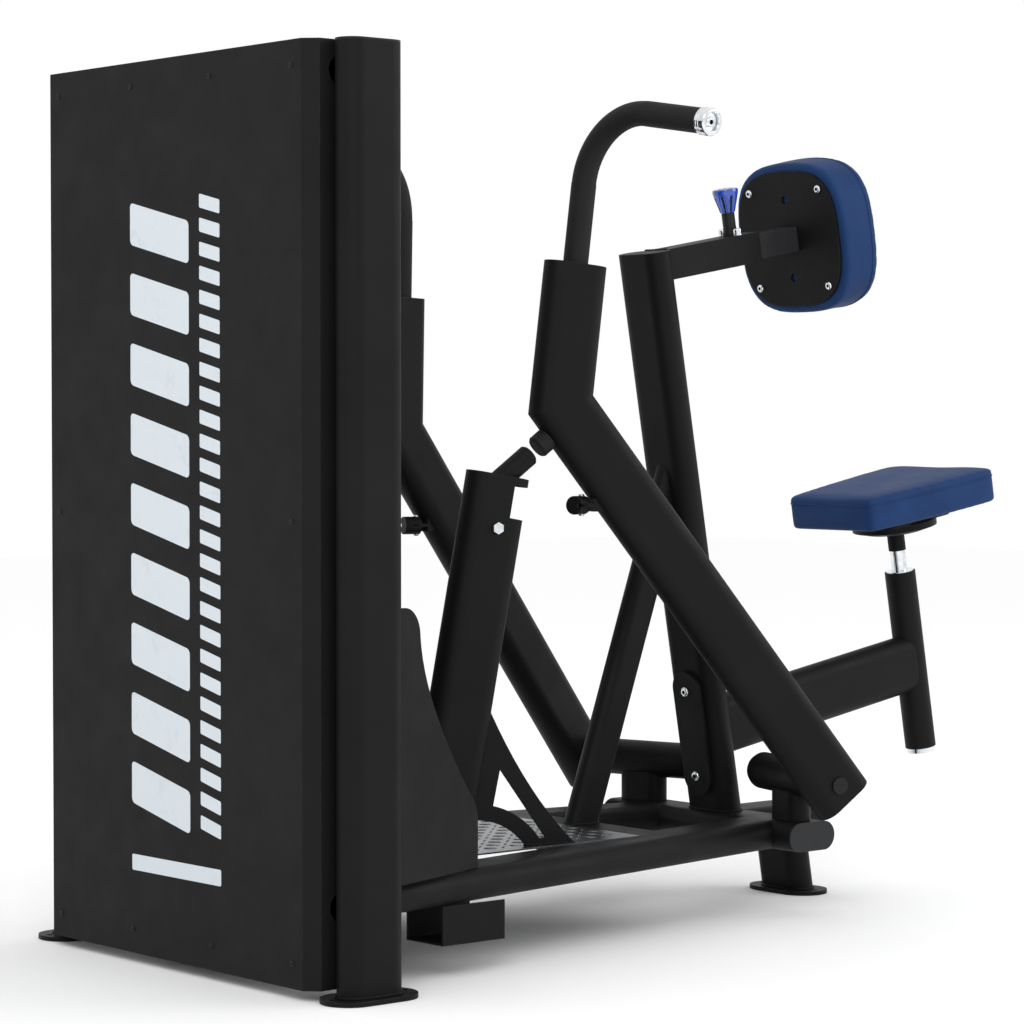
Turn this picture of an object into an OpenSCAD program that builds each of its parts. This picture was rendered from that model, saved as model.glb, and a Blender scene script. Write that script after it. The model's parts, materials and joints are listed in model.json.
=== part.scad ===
// Seated cable row: weight tower, welded base, leaning seat frame and two
// independent rowing levers.  Millimetres, +Z up.  The origin is on the floor,
// midway between the two tower uprights; +X runs from the tower to the seat.

/* [Tower] */
// overall height of the tower
tower_h = 1580; // [1500:10:1700]
// distance between the centre lines of the two uprights
tower_span = 868; // [820:4:920]
// depth of the rear cover behind the upright centre line
cover_depth = 98; // [90:1:120]
// number of plates in the weight stack
plate_count = 14; // [8:1:18]

/* [Tubes] */
// width of the flat-oval frame tube
tube_w = 120; // [110:1:130]
// thickness of the flat-oval frame tube
tube_t = 60; // [54:1:64]
// wall of the frame tube
tube_wall = 3; // [2:0.5:4]

/* [Seat frame] */
// lean of the column, stop posts, seat post and pads from the vertical
lean = 10; // [6:1:12]
// distance from the tower to the foot of the column
column_x = 1200; // [1180:5:1240]
// length of the column
column_len = 1110; // [1050:5:1150]
// distance from the column to the seat post
seat_reach = 600; // [560:5:640]
// height of the seat above its post tube
seat_raise = 45; // [40:5:120]
// length of the outer chest-pad arm
arm_len = 285; // [260:5:300]

/* [Levers] */
// distance from the centre plane to each lever pivot
pivot_y = 361; // [350:1:375]
// angle by which each lever plane opens out towards the seat
splay = 15.4; // [14:0.1:16]
// length of a lever from pivot to elbow
lever_len = 916; // [880:2:930]
// elbow bend of the lever
elbow_bend = 45; // [40:1:50]
// length of the handle sleeve above the elbow
sleeve_len = 258; // [240:2:270]
// angle of the near lever from the vertical
near_angle = 38.4; // [36:0.1:40]
// angle of the far lever from the vertical
far_angle = 43.6; // [41:0.1:44]
// diameter of the handle grip
grip_d = 46; // [40:1:48]

/* [Hidden] */
$fn = 96;

upright_y = tower_span / 2;
inner_y = upright_y - tube_t / 2;      // inner faces of the uprights
big = 3000;                            // half-space block
eps = 0.05;                            // running clearance on a radius

// base
rail_top = 181;                        // top of the base tubes
rail_t = 56;                           // thickness of the base tubes
rail_mid = rail_top - rail_t / 2;
rig_z = 186;                           // height of the column frame
sole_t = 8;                            // floor plates
deck_t = 3;                            // checker plate
deck_top = rail_top + deck_t;
deck_x0 = 32;
deck_x1 = 796;
deck_half = 222;
beam_y0 = 345;                         // beam centre at the tower
beam_y1 = 163;                         // beam centre at the cross tube
beam_x0 = tube_w / 2;
beam_x1 = column_x - tube_w / 2;
beam_yaw = atan((beam_y0 - beam_y1) / (beam_x1 - beam_x0));
cross_len = 536;
brace_x = 844;
stub_end_x = 1440;
weld_depth = 6;                        // the leg is let into the stub up to this far below its centre
rear_foot_x = 1404;

// weight stack
stack_z0 = rail_top + 40;
plate_h = 28;
plate_pitch = 29;
plate_size = [110, 330];
rod_y = 125;
rod_d = 25;
head_z = stack_z0 + plate_count * plate_pitch;
top_tube_z = tower_h - 50;

// lever geometry, measured in the lever plane from the pivot
pivot_z = 265;
pivot_x = 1160;
housing_d = 72;
housing_in = 265;                      // inner end of the pivot housing
shaft_d = 30;
bumper_along = 885;
stop_gap = 16;
bumper_d = 43;
bumper_len = 27;
lug_along = 731;
link_swing = 33;                       // outward swing of the cable link
link_d = 34;
link_gap = 26;                         // lever edge to the link bolt
handle_rise = 288;                     // sleeve top to the corner of the bend
handle_turn = 96.8;
handle_yaw = -70.2;
handle_bend_r = 126;
handle_reach = 280;                    // corner of the bend to the end cap
far_post_shift = 90;                   // far stop sits back to suit its lever

// stop post, same plane, with x running from the pivot towards the seat
post_top = [-694.5, 592];
post_h = 667;
post_lean = 10.2;
axle_at = [-709, 497];
axle_d = 16;
pulley_d = 58;
low_pulley_at = [254, -200, 122];
stub_len = 102;
stub_d = 40;

// chest pad
arm_v = column_len - 30;
arm_side = 60;
inner_side = 50;
plate_a = 395;
pad_size = 296;
chest_t = 88;
seat_v = 353;                          // top of the seat tube
beam_v = 158;                          // centre of the seat beam on the column
rod_top = seat_v + seat_raise;
pad_low = rod_top + 77;                // underside of the seat pad
pin_a = 235;                           // pull pin along the arm
pin_hole_d = 16;

// ---------- shared shapes ----------
module oval(w, t) {
    square([w - t, t], center = true);
    for (s = [-1, 1]) translate([s * (w - t) / 2, 0]) circle(d = t);
}
module oval_bar(w, t, len) { linear_extrude(len) oval(w, t); }
module oval_ring(w = tube_w, t = tube_t, wall = tube_wall) {
    difference() { oval(w, t); oval(w - 2 * wall, t - 2 * wall); }
}
module oval_tube(w, t, len, wall = tube_wall) {
    linear_extrude(len) oval_ring(w, t, wall);
}
module both_sides() { for (m = [0, 1]) mirror([0, m, 0]) children(); }
module above(z) { intersection() { children(); translate([-big, -big, z]) cube(2 * big); } }
module rig() { translate([column_x, 0, rig_z]) rotate([0, -lean, 0]) children(); }
module pivot_frame() { translate([pivot_x, -pivot_y, pivot_z]) rotate([0, 0, -splay]) children(); }
module lever_frame(angle) { pivot_frame() rotate([0, -angle, 0]) children(); }
module sleeve_frame() { translate([0, 0, lever_len]) rotate([0, elbow_bend, 0]) children(); }
module along_y(len) { translate([0, -len / 2, 0]) rotate([-90, 0, 0]) linear_extrude(len) children(); }
module rounded_rect(w, h, r) {
    square([w - 2 * r, h], center = true);
    square([w, h - 2 * r], center = true);
    for (x = [-1, 1]) for (y = [-1, 1]) translate([x * (w / 2 - r), y * (h / 2 - r)]) circle(r);
}
module button_screw(d, h) {
    cylinder(h = h, d = d);
    translate([0, 0, h]) cylinder(h = h / 2, d1 = d, d2 = d * 0.7);
}
module hex_head(af, h) { cylinder(h = h, d = af / cos(30), $fn = 6); }

// ---------- tower ----------
module tower_upright() {
    color("#26282a") both_sides() translate([0, -upright_y, sole_t])
        oval_tube(tube_w, tube_t, tower_h - sole_t - 3);
}
module sole(w, t) {
    linear_extrude(sole_t) difference() {
        oval(w, t);
        for (s = [-1, 1]) translate([s * (w / 2 - 15), 0]) circle(d = 12);
    }
}
module floor_plate() {
    color("#26282a") {
        both_sides() translate([0, -upright_y, 0]) sole(180, 100);
        translate([rear_foot_x, 0, 0]) rotate([0, 0, 90]) sole(180, 100);
    }
}
module tower_cap() {
    color("#1b1c1d") both_sides() translate([0, -upright_y, tower_h - 3]) {
        oval_bar(tube_w, tube_t, 3);
        translate([0, 0, -15]) oval_bar(tube_w - 2 * tube_wall - 1, tube_t - 2 * tube_wall - 1, 15);
    }
}
module tower_cover() {
    chamfer = 22;
    sheet = 2;
    half = inner_y;
    color("#242628") {
        difference() {
            translate([0, 0, 18]) linear_extrude(tower_h - 18) difference() {
                polygon([[20, -half], [chamfer - cover_depth, -half], [-cover_depth, chamfer - half],
                         [-cover_depth, half - chamfer], [chamfer - cover_depth, half], [20, half]]);
                polygon([[21, sheet - half], [chamfer - cover_depth + 1, sheet - half],
                         [sheet - cover_depth, chamfer + 1 - half], [sheet - cover_depth, half - chamfer - 1],
                         [chamfer - cover_depth + 1, half - sheet], [21, half - sheet]]);
            }
            cover_screw_spots() translate([0, 0, -5]) cylinder(h = 20, d = 5);
            for (z = [rail_mid, top_tube_z]) translate([0, 0, z]) along_y(2 * half + 20) oval(tube_w, rail_t);
        }
    }
}
module cover_screw_spots() {
    for (z = [60, tower_h / 2, tower_h - 42]) for (y = [-1, -0.34, 0.34, 1])
        if (z != tower_h / 2 || abs(y) == 1)
            translate([-cover_depth, y * (inner_y - 50), z]) rotate([0, -90, 0]) children();
}
module cover_screw() {
    color("#1a1a1a") cover_screw_spots() {
        translate([0, 0, -10]) cylinder(h = 10, d = 4.8);
        cylinder(h = 2, d1 = 10, d2 = 6);
    }
}
module tower_cross_tube() {
    color("#26282a") difference() {
        for (z = [rail_mid, top_tube_z]) translate([0, 0, z]) along_y(2 * inner_y) oval_ring(t = rail_t);
        guide_rod_spots() translate([0, 0, rail_mid]) cylinder(h = top_tube_z - rail_mid, d = rod_d);
    }
}
module guide_rod_spots() { for (s = [-1, 1]) translate([0, s * rod_y, 0]) children(); }
module guide_rod() {
    color("#c9ccd0") guide_rod_spots()
        translate([0, 0, rail_mid]) cylinder(h = top_tube_z - rail_mid, d = rod_d);
}
module plate_outline(bore) {
    difference() {
        rounded_rect(plate_size[0], plate_size[1], 8);
        for (s = [-1, 1]) translate([0, s * rod_y]) circle(d = bore);
        circle(d = 30);
    }
}
module weight_plate() {
    color("#2c2d2f") for (i = [0 : plate_count - 1])
        translate([0, 0, stack_z0 + i * plate_pitch]) difference() {
            linear_extrude(plate_h) plate_outline(rod_d + 3);
            translate([20, 0, plate_h / 2]) rotate([0, 90, 0]) cylinder(h = 60, d = 12);
        }
}
module stack_buffer() {
    color("#111111") guide_rod_spots() translate([0, 0, rail_top]) difference() {
        cylinder(h = stack_z0 - rail_top, d = 60);
        translate([0, 0, -1]) cylinder(h = 100, d = rod_d + 1);
    }
}
module stack_head() {
    color("#2c2d2f") translate([0, 0, head_z]) {
        difference() {
            linear_extrude(40) plate_outline(rod_d + 2 * eps);
            translate([10, 0, 20]) rotate([0, 90, 0]) cylinder(h = 60, d = 10 + 2 * eps);
        }
        translate([0, 0, 40]) difference() {
            translate([-12, -30, 0]) cube([24, 60, 40]);
            translate([0, 0, 22]) rotate([90, 0, 0]) cylinder(h = 80, d = 12, center = true);
        }
    }
    color("#2c2d2f") translate([0, 0, stack_z0 + 2]) cylinder(h = head_z - stack_z0 + 8, d = 25);
}
module selector_pin() {
    color("#2f62c4") translate([0, 0, head_z + 20]) rotate([0, 90, 0]) {
        translate([0, 0, 16]) cylinder(h = 54, d = 10);
        translate([0, 0, 62]) cylinder(h = 30, d1 = 24, d2 = 32);
    }
}
function bezier(a, b, c, t) = (1 - t) * (1 - t) * a + 2 * t * (1 - t) * b + t * t * c;
module stack_guard() {
    sheet = 3;
    turn = 20;
    low = rail_top;
    wing = 263;
    steps = 12;
    top_r = 50;
    top_c = [24, 594 - low];
    knee = [236, 313 - low];
    color("#1f2122") both_sides() translate([tube_w / 2 + 1, -428, low]) rotate([0, 0, turn])
        rotate([90, 0, 0]) linear_extrude(sheet) polygon(concat(
            [[0, 0], [wing, 0]],
            [for (i = [0 : steps]) bezier([wing, 262 - low], [262, 294 - low], knee, i / steps)],
            [for (i = [1 : steps]) bezier(knee, [85, 482 - low], top_c + [top_r, 0], i / steps)],
            [for (i = [1 : steps]) top_c + top_r * [cos(90 * i / steps), sin(90 * i / steps)]],
            [[0, 644 - low]]));
}

// ---------- base ----------
module beam_line() {
    translate([beam_x0, -beam_y0, rail_mid]) rotate([0, 0, beam_yaw]) rotate([90, 0, 90]) children();
}
module beam_solid() {
    len = norm([beam_x1 - beam_x0, beam_y0 - beam_y1]);
    beam_line() translate([0, 0, -40]) oval_bar(tube_w + 2 * eps, rail_t + 2 * eps, len + 80);
}
module tower_base_solid() { translate([0, 0, rail_mid]) along_y(2 * inner_y) oval(tube_w, rail_t); }
module cross_solid() { translate([column_x, 0, rail_mid]) along_y(cross_len) oval(tube_w, rail_t); }
module base_rail() {
    len = norm([beam_x1 - beam_x0, beam_y0 - beam_y1]);
    mid_y = beam_y0 - (brace_x - beam_x0) * tan(beam_yaw);
    color("#26282a") {
        both_sides() difference() {
            beam_line() translate([0, 0, -40]) oval_tube(tube_w, rail_t, len + 80);
            tower_base_solid();
            cross_solid();
            translate([0, -upright_y, sole_t]) oval_bar(tube_w, tube_t, 2 * rail_top);
            translate([-big, -big, 0]) cube([big, 2 * big, 400]);
            translate([column_x, -big, 0]) cube([big, 2 * big, 400]);
        }
        difference() {
            translate([brace_x, 0, rail_mid]) along_y(2 * mid_y) oval_ring(t = rail_t);
            both_sides() beam_solid();
        }
    }
}
module cross_tube() {
    color("#26282a") translate([column_x, 0, rail_mid]) along_y(cross_len) oval_ring(t = rail_t);
}
module cross_cap() {
    color("#1b1c1d") both_sides() translate([column_x, -cross_len / 2, rail_mid]) rotate([90, 0, 0]) {
        oval_bar(tube_w, rail_t, 3);
        translate([0, 0, -12]) oval_bar(tube_w - 2 * tube_wall - 1, rail_t - 2 * tube_wall - 1, 12);
    }
}
module rear_stub() {
    color("#26282a") difference() {
        translate([column_x, 0, rail_mid]) rotate([90, 0, 90]) union() {
            oval_tube(tube_w, rail_t, stub_end_x - column_x);
            translate([0, 0, stub_end_x - column_x - 3]) oval_bar(tube_w, rail_t, 3);
        }
        cross_solid();
        translate([0, -big, 0]) cube([column_x, 2 * big, 400]);
    }
}
module rear_foot() {
    color("#26282a") difference() {
        translate([rear_foot_x, 0, 0]) rotate([0, -lean, 0])
            translate([0, 0, -30]) rotate([0, 0, 90]) oval_tube(tube_w, tube_t, 170);
        translate([-big, -big, rail_mid - weld_depth]) cube(2 * big);
        translate([-big, -big, sole_t - 2 * big]) cube(2 * big);
    }
}
module pulley_box() {
    wall = 4;
    size = [138, 100, 68];
    corner = [210, -367, rail_top - rail_t - size[2]];
    color("#202224") both_sides() {
        difference() {
            translate(corner) cube(size);
            translate(corner + [-1, wall, wall]) cube([size[0] + 2, size[1] - 2 * wall, size[2]]);
        }
        difference() {
            low_spot() for (s = [-1, 1]) translate([-15, s * 14 - 2.5, -14]) difference() {
                cube([30, 5, 80]);
                translate([15, -1, 14]) rotate([-90, 0, 0]) cylinder(h = 10, d = 10);
            }
            translate([0, -big, rail_top]) cube(2 * big);
        }
    }
}
module low_spot() { translate(low_pulley_at) children(); }
module axle_bolt(d, grip, af, head) {
    rotate([90, 0, 0]) {
        cylinder(h = grip + head, d = d, center = true);
        for (s = [0, 1]) mirror([0, 0, s]) translate([0, 0, grip / 2]) rotate([0, 0, 30]) hex_head(af, head);
    }
}
module pulley_axle() {
    color("#c9ccd0") {
        both_sides() low_spot() axle_bolt(10, 33, 16, 6);
        post_pair() translate([axle_at[0], 0, axle_at[1]]) axle_bolt(axle_d, tube_t, 19, 7);
    }
}
module sheave() {
    rotate([90, 0, 0]) rotate_extrude() difference() {
        translate([5 + eps, -9]) square([pulley_d / 2 - 5 - eps, 18]);
        translate([pulley_d / 2 + 4, 0]) circle(8);
    }
}
module near_low_pulley() { color("#2f62c4") low_spot() sheave(); }
module far_low_pulley() { color("#2f62c4") mirror([0, 1, 0]) near_low_pulley(); }
module foot_plate() {
    color("#8d9093") translate([0, 0, rail_top]) 
        linear_extrude(deck_t) translate([deck_x0, -deck_half]) square([deck_x1 - deck_x0, 2 * deck_half]);
}

// ---------- stop posts and pulleys ----------
module post_pair() {
    pivot_frame() children();
    mirror([0, 1, 0]) pivot_frame() translate([-far_post_shift, 0, 0]) children();
}
module post_axis() {
    translate([post_top[0], 0, post_top[1]]) rotate([0, post_lean, 0]) children();
}
module stub_axis() {
    reach = tube_w / 2 + bumper_len + stop_gap;
    rotate([0, -near_angle, 0]) translate([-reach, 0, bumper_along]) rotate([0, -90, 0]) children();
}
module stop_post() {
    color("#26282a") post_pair() difference() {
        above(deck_top - pivot_z) post_axis() {
            translate([0, 0, -post_h - 30]) oval_tube(tube_w, tube_t, post_h + 30);
            translate([0, 0, -3]) oval_bar(tube_w, tube_t, 3);
        }
        post_axis() translate([tube_w / 2 - 36, -50, -74]) cube([60, 100, 60]);
        translate([axle_at[0], 0, axle_at[1]]) rotate([90, 0, 0]) cylinder(h = 80, d = axle_d, center = true);
        stub_axis() cylinder(h = stub_len, d = stub_d);
    }
}
module post_gusset() {
    foot = deck_top - pivot_z;
    edge_top = [-709, 163];
    edge_foot = [-541, foot];
    edge_low = [-755, foot];
    arc_at = [-742, -158];
    steps = 10;
    color("#26282a") post_pair() difference() {
        rotate([90, 0, 0]) translate([0, 0, -3]) linear_extrude(6) difference() {
            polygon(concat([for (i = [0 : steps]) bezier(edge_top, [-634, 8], edge_foot, i / steps)], [edge_low]));
            translate(arc_at) circle(128);
            difference() {
                polygon([[-691, 61], [-600, -68], [-712, foot], [-705, -6]]);
                translate(arc_at) circle(157);
            }
        }
        post_axis() translate([0, 0, -post_h - 60]) oval_bar(tube_w, tube_t, post_h + 60);
    }
}
module stop_stub() {
    color("#26282a") post_pair() stub_axis() {
        cylinder(h = 4, d1 = stub_d - 8, d2 = stub_d);
        translate([0, 0, 4]) cylinder(h = stub_len - 4, d = stub_d);
    }
}

// ---------- seat frame ----------
module column() {
    color("#26282a") {
        above(rail_top) rig() translate([0, 0, -40]) rotate([0, 0, 90])
            oval_tube(tube_w, tube_t, column_len + 37);
        rig() translate([0, 0, column_len - 3]) rotate([0, 0, 90]) oval_bar(tube_w, tube_t, 3);
    }
}
module brace() {
    top = [column_x - 182, 672];
    tilt = atan((top[0] - brace_x) / (top[1] - rail_top));
    color("#26282a") difference() {
        above(rail_top) translate([brace_x, 0, rail_top]) rotate([0, tilt, 0])
            translate([0, 0, -30]) oval_tube(72, 40, 780);
        rig() translate([-tube_t / 2, -200, -100]) cube([400, 400, 1400]);
    }
}
module column_plate_spots() {
    for (v = [73, 244]) rig() translate([-tube_t / 2, 0, v]) rotate([0, -90, 0]) children();
}
module column_plate() {
    color("#232527") difference() {
        rig() translate([-tube_t / 2, 0, beam_v]) rotate([0, -90, 0]) oval_bar(250, 72, 10);
        column_plate_spots() translate([0, 0, -1]) cylinder(h = 12, d = 10);
    }
}
module plate_bolt() {
    color("#c9ccd0") column_plate_spots() {
        cylinder(h = 10, d = 9.8);
        translate([0, 0, 10]) button_screw(19, 5);
    }
}
module seat_beam() {
    color("#26282a") rig() difference() {
        translate([tube_t / 2, 0, beam_v]) rotate([0, 90, 0]) oval_tube(tube_w, tube_t, seat_reach - tube_t / 2);
        translate([seat_reach, 0, -100]) cylinder(h = 600, d = 64);
    }
}
module seat_tube() {
    color("#26282a") rig() translate([seat_reach, 0, -23]) difference() {
        cylinder(h = seat_v + 23, d = 64);
        translate([0, 0, -1]) cylinder(h = seat_v + 30, d = 58);
    }
}
module seat_liner() {
    color("#c9ccd0") rig() translate([seat_reach, 0, -33]) difference() {
        cylinder(h = seat_v + 35, d = 58);
        translate([0, 0, -1]) cylinder(h = seat_v + 40, d = 32 + 2 * eps);
    }
}
module seat_rod() {
    color("#c9ccd0") rig() translate([seat_reach, 0, rod_top - 300]) cylinder(h = 300, d = 32);
}
module seat_bracket() {
    color("#1d1f20") rig() translate([seat_reach, 0, rod_top]) {
        cylinder(h = 44, d = 36);
        translate([0, 0, 40]) cylinder(h = 8, d1 = 120, d2 = 176);
        translate([0, 0, 48]) cylinder(h = 14, d = 176);
        translate([0, 0, 62]) linear_extrude(15) rounded_rect(190, 160, 20);
    }
}
module seat_pad() {
    color("#27457f") rig() translate([0, 0, pad_low]) hull() {
        for (s = [-1, 1]) {
            translate([seat_reach - 174, s * 104, 0]) cylinder(h = 66, r = 8, $fn = 32);
            translate([seat_reach - 70, s * 115, 0]) cylinder(h = 66, r = 30, $fn = 32);
            translate([seat_reach + 142, s * 118, 0]) cylinder(h = 66, r = 25, $fn = 32);
        }
    }
}
module arm_outer() {
    color("#26282a") rig() difference() {
        translate([tube_t / 2, -arm_side / 2, arm_v - arm_side / 2]) cube([arm_len - tube_t / 2, arm_side, arm_side]);
        translate([tube_t / 2 + 4, -26, arm_v - 26]) cube([arm_len, 52, 52]);
        translate([pin_a, 0, arm_v]) cylinder(h = 60, d = pin_hole_d);
    }
}
module arm_liner() {
    gap = inner_side + 4 * eps;
    color("#101010") rig() difference() {
        translate([90, -26, arm_v - 26]) cube([arm_len - 90, 52, 52]);
        translate([80, -gap / 2, arm_v - gap / 2]) cube([arm_len, gap, gap]);
        translate([pin_a, 0, arm_v]) cylinder(h = 60, d = pin_hole_d);
    }
}
module arm_inner() {
    color("#26282a") rig() difference() {
        translate([95, -inner_side / 2, arm_v - inner_side / 2]) cube([plate_a - 95, inner_side, inner_side]);
        translate([90, -inner_side / 2 + 3, arm_v - inner_side / 2 + 3])
            cube([plate_a - 94, inner_side - 6, inner_side - 6]);
        for (i = [-5 : 2]) translate([pin_a + 25 * i, 0, arm_v]) cylinder(h = 60, d = 9);
    }
}
// a square with bowed sides and wide round corners
module chest_outline(size) {
    bow = 2 / 3;
    steps = 72;
    polygon([for (i = [0 : steps - 1]) let (c = cos(360 * i / steps), s = sin(360 * i / steps))
        size / 2 * [sign(c) * pow(abs(c), bow), sign(s) * pow(abs(s), bow)]]);
}
module chest_hole_spots() {
    rig() translate([plate_a, 0, arm_v]) rotate([0, 90, 0])
        for (x = [-97, 97]) for (y = [-97, 97]) translate([x, y, 0]) children();
}
module chest_plate() {
    color("#1d1f20") difference() {
        rig() translate([plate_a, 0, arm_v]) rotate([0, 90, 0]) linear_extrude(6) difference() {
            chest_outline(274);
            for (x = [-79, 79]) translate([x, 0]) circle(d = 16);
        }
        chest_hole_spots() translate([0, 0, -5]) cylinder(h = 20, d = 9);
    }
}
module chest_bolt() {
    color("#c9ccd0") chest_hole_spots() {
        cylinder(h = 6, d = 8.8);
        rotate([180, 0, 0]) button_screw(16, 3);
    }
}
module chest_pad() {
    color("#27457f") rig() translate([plate_a + 6, 0, arm_v]) rotate([0, 90, 0])
        linear_extrude(chest_t) chest_outline(pad_size);
}
module arm_pin_body() {
    color("#17181a") rig() translate([pin_a, 0, arm_v + arm_side / 2]) difference() {
        union() {
            cylinder(h = 8, d = 30);
            cylinder(h = 45, d = 26);
            translate([0, 0, -4]) cylinder(h = 4, d = pin_hole_d - 0.2);
        }
        translate([0, 0, -5]) cylinder(h = 60, d = 8 + 2 * eps);
    }
}
module arm_pin_knob() {
    color("#2f62c4") rig() translate([pin_a, 0, arm_v + arm_side / 2]) {
        translate([0, 0, -4.4]) cylinder(h = 60, d = 8);
        translate([0, 0, 46]) cylinder(h = 38, d1 = 28, d2 = 48);
        translate([0, 0, 84]) cylinder(h = 8, d1 = 48, d2 = 42);
    }
}

// ---------- pivots ----------
module pivot_housing() {
    color("#26282a") both_sides() pivot_frame() rotate([-90, 0, 0]) translate([0, 0, tube_t / 2 + 3])
        difference() {
            cylinder(h = housing_in - tube_t / 2 - 3, d = housing_d);
            translate([0, 0, -1]) cylinder(h = housing_in, d = 52);
        }
}
module pivot_bush() {
    color("#b08d57") both_sides() pivot_frame() rotate([-90, 0, 0])
        for (z = [tube_t / 2 + 3, housing_in - 30]) translate([0, 0, z]) difference() {
            cylinder(h = 30, d = 52);
            translate([0, 0, -1]) cylinder(h = 40, d = shaft_d + 2 * eps);
        }
}
module pivot_riser() {
    color("#26282a") both_sides() difference() {
        pivot_frame() translate([0, 155, rail_top - pivot_z - 20]) rotate([0, 0, 90]) oval_tube(100, 50, 98);
        cross_solid();
        pivot_frame() rotate([-90, 0, 0]) cylinder(h = 400, d = housing_d);
        translate([-big, -big, pivot_z]) cube(2 * big);
        translate([-big, -big, -2 * big + rail_mid]) cube(2 * big);
    }
}

// ---------- levers ----------
module mitre_half(side) {
    intersection() {
        children();
        translate([0, 0, lever_len]) rotate([0, elbow_bend / 2, 0])
            translate([0, 0, side * big / 2]) cube(big, center = true);
    }
}
module lever_body() {
    tail = 39;
    color("#26282a") difference() {
        union() {
            mitre_half(-1) translate([0, 0, -tail]) oval_tube(tube_w, tube_t, lever_len + tail + 80);
            translate([0, 0, -tail]) oval_bar(tube_w, tube_t, 3);
            mitre_half(1) sleeve_frame() translate([0, 0, -80]) oval_tube(tube_w, tube_t, sleeve_len + 80);
            sleeve_frame() translate([0, 0, sleeve_len - 4]) oval_bar(tube_w, tube_t, 4);
            sleeve_frame() translate([0, 0, sleeve_len - 110]) oval_bar(tube_w - 4, tube_t - 4, 4);
            rotate([90, 0, 0]) cylinder(h = tube_t - 1, d = 56, center = true);
        }
        rotate([90, 0, 0]) cylinder(h = 100, d = shaft_d + 2 * eps, center = true);
        sleeve_frame() translate([0, 0, sleeve_len - 120]) cylinder(h = 200, d = 38);
    }
}
module bumper_body() {
    color("#141414") translate([-tube_w / 2, 0, bumper_along]) rotate([0, -90, 0]) {
        cylinder(h = bumper_len - 4, d = bumper_d);
        translate([0, 0, bumper_len - 4]) cylinder(h = 4, d1 = bumper_d, d2 = bumper_d - 6);
    }
}
module handle_path(d) {
    run = handle_bend_r * tan(handle_turn / 2);
    translate([0, 0, handle_rise - run]) rotate([0, 0, handle_yaw])
        translate([handle_bend_r, 0, 0]) rotate([90, 0, 0]) rotate([0, 0, 180 - handle_turn])
            rotate_extrude(angle = handle_turn) translate([handle_bend_r, 0]) circle(d = d);
}
module handle_tip() {
    translate([0, 0, handle_rise]) rotate([0, 0, handle_yaw]) rotate([0, handle_turn, 0]) children();
}
module handle_body() {
    run = handle_bend_r * tan(handle_turn / 2);
    color("#1a1b1c") sleeve_frame() translate([0, 0, sleeve_len]) {
        cylinder(h = handle_rise - run, d = grip_d);
        translate([0, 0, -112]) cylinder(h = 112, d = 37.8);
        handle_path(grip_d - 1);
        handle_tip() translate([0, 0, run]) cylinder(h = handle_reach - run, d = grip_d);
    }
}
module end_cap() {
    color("#d7dadd") sleeve_frame() translate([0, 0, sleeve_len]) handle_tip()
        translate([0, 0, handle_reach]) {
            cylinder(h = 20, d = grip_d + 4);
            translate([0, 0, 20]) cylinder(h = 4, d1 = grip_d + 4, d2 = grip_d - 4);
        }
}
module shaft_body() {
    color("#2a2c2e") rotate([-90, 0, 0]) {
        translate([0, 0, -tube_t / 2]) cylinder(h = housing_in + tube_t / 2 + 14, d = shaft_d);
        translate([0, 0, -tube_t / 2 - 4]) cylinder(h = 4, d = 32);
    }
    color("#c9ccd0") rotate([-90, 0, 0]) translate([0, 0, housing_in + 1]) cylinder(h = 9, d = 64);
}
module link_frame(angle) {
    translate([-tube_w / 2, 0, lug_along]) rotate([0, angle, 0]) translate([-link_gap, 0, 0]) children();
}
// tongue welded to the lever edge, and the barrel that the bolt clamps around it
module cable_link(angle) {
    tongue = 6;
    reach = 26;
    color("#3a3c3f") difference() {
        link_frame(angle) {
            translate([0, -15, -tongue / 2]) cube([60, 30, tongue]);
            cylinder(h = tongue, d = 30, center = true);
            translate([18, -15, -12]) cube([40, 30, 24]);
        }
        link_frame(angle) cylinder(h = 60, d = 10, center = true);
        translate([0, 0, 300]) oval_bar(tube_w, tube_t, 800);
    }
    color("#3a3c3f") difference() {
        link_frame(angle) rotate([0, 0, link_swing]) rotate([0, -90, 0])
            translate([0, 0, -6]) cylinder(h = reach + 6, d = link_d);
        link_frame(angle) translate([-17, -50, -tongue / 2 - 2 * eps]) cube([80, 100, tongue + 4 * eps]);
        link_frame(angle) cylinder(h = 60, d = 10, center = true);
    }
}
module link_bolt(angle) {
    color("#c9ccd0") link_frame(angle) {
        cylinder(h = link_d + 1, d = 10, center = true);
        for (s = [0, 1]) mirror([0, 0, s]) translate([0, 0, link_d / 2]) cylinder(h = 3, d1 = 12, d2 = 9);
    }
}
module near_lever() { lever_frame(near_angle) lever_body(); }
module near_handle() { lever_frame(near_angle) handle_body(); }
module near_end_cap() { lever_frame(near_angle) end_cap(); }
module near_shaft() { lever_frame(near_angle) shaft_body(); }
module near_link() { lever_frame(near_angle) cable_link(near_angle); }
module near_link_bolt() { lever_frame(near_angle) link_bolt(near_angle); }
module near_bumper() { lever_frame(near_angle) bumper_body(); }
module far_lever() { mirror([0, 1, 0]) lever_frame(far_angle) lever_body(); }
module far_handle() { mirror([0, 1, 0]) lever_frame(far_angle) handle_body(); }
module far_end_cap() { mirror([0, 1, 0]) lever_frame(far_angle) end_cap(); }
module far_shaft() { mirror([0, 1, 0]) lever_frame(far_angle) shaft_body(); }
module far_link() { mirror([0, 1, 0]) lever_frame(far_angle) cable_link(far_angle); }
module far_link_bolt() { mirror([0, 1, 0]) lever_frame(far_angle) link_bolt(far_angle); }
module far_bumper() { mirror([0, 1, 0]) lever_frame(far_angle) bumper_body(); }

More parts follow.
